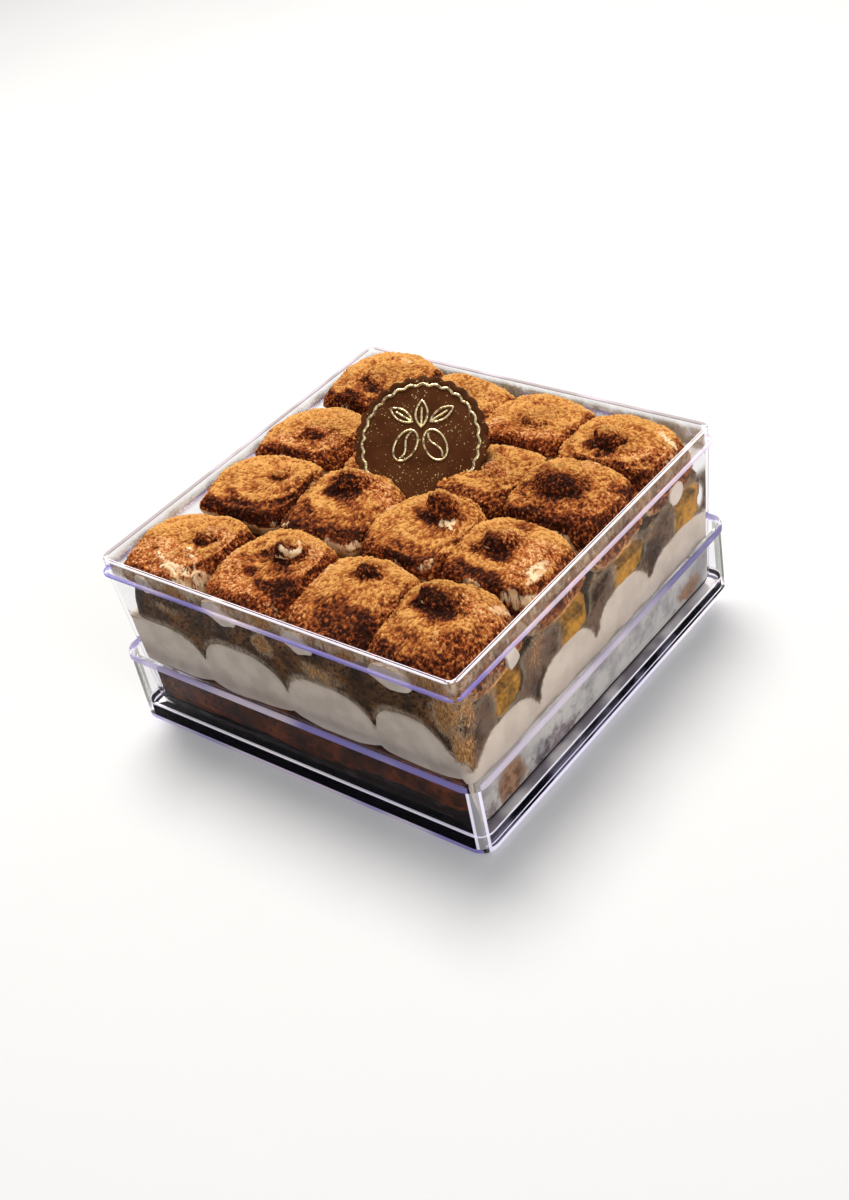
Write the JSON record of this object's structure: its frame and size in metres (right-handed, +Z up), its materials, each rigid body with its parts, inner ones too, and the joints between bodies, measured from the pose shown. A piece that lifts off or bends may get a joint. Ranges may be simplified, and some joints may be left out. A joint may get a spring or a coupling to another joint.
{
  "type": "tiramisu in a clear box",
  "caption": "Square tiramisu in a clear plastic box standing in its own upturned lid: sponge and cream layers under cocoa-dusted piped dollops, with a scalloped chocolate disc.",
  "frame": {"origin": "on the surface it stands on, under the middle of the upturned lid", "axes": "+Z up; the ladyfingers lie along X, their ends show at the +X wall, and the -Y wall is the front"},
  "size_m": [0.1238, 0.1238, 0.0767],
  "materials": {
    "clear_plastic": "clear, polished polystyrene",
    "soaked_sponge": "sponge biscuit soaked dark with coffee",
    "golden_sponge": "coffee-stained sponge biscuit with a golden baked end",
    "mascarpone_cream": "smooth whipped cream",
    "dusted_cream": "whipped cream under a thick coat of cocoa powder",
    "cocoa": "dry cocoa powder",
    "chocolate": "satin dark chocolate",
    "gold_dust": "edible gold dust"
  },
  "bodies": {
    "root": {"lid": "clear_plastic", "box": "clear_plastic", "ladyfinger_lower_1": "soaked_sponge", "ladyfinger_upper_1": "golden_sponge", "ladyfinger_lower_2": "soaked_sponge", "ladyfinger_upper_2": "golden_sponge", "ladyfinger_lower_3": "soaked_sponge", "ladyfinger_upper_3": "golden_sponge", "ladyfinger_lower_4": "soaked_sponge", "ladyfinger_upper_4": "golden_sponge", "cream_middle": "mascarpone_cream", "chocolate_seal": "chocolate", "dollop_1_1": "dusted_cream", "dollop_1_2": "dusted_cream", "dollop_1_3": "dusted_cream", "dollop_1_4": "dusted_cream", "dollop_2_1": "dusted_cream", "dollop_2_2": "dusted_cream", "dollop_2_3": "dusted_cream", "dollop_2_4": "dusted_cream", "dollop_3_1": "dusted_cream", "dollop_3_2": "dusted_cream", "dollop_3_3": "dusted_cream", "dollop_3_4": "dusted_cream", "dollop_4_1": "dusted_cream", "dollop_4_2": "dusted_cream", "dollop_4_3": "dusted_cream", "dollop_4_4": "dusted_cream"}
  },
  "joints": []
}
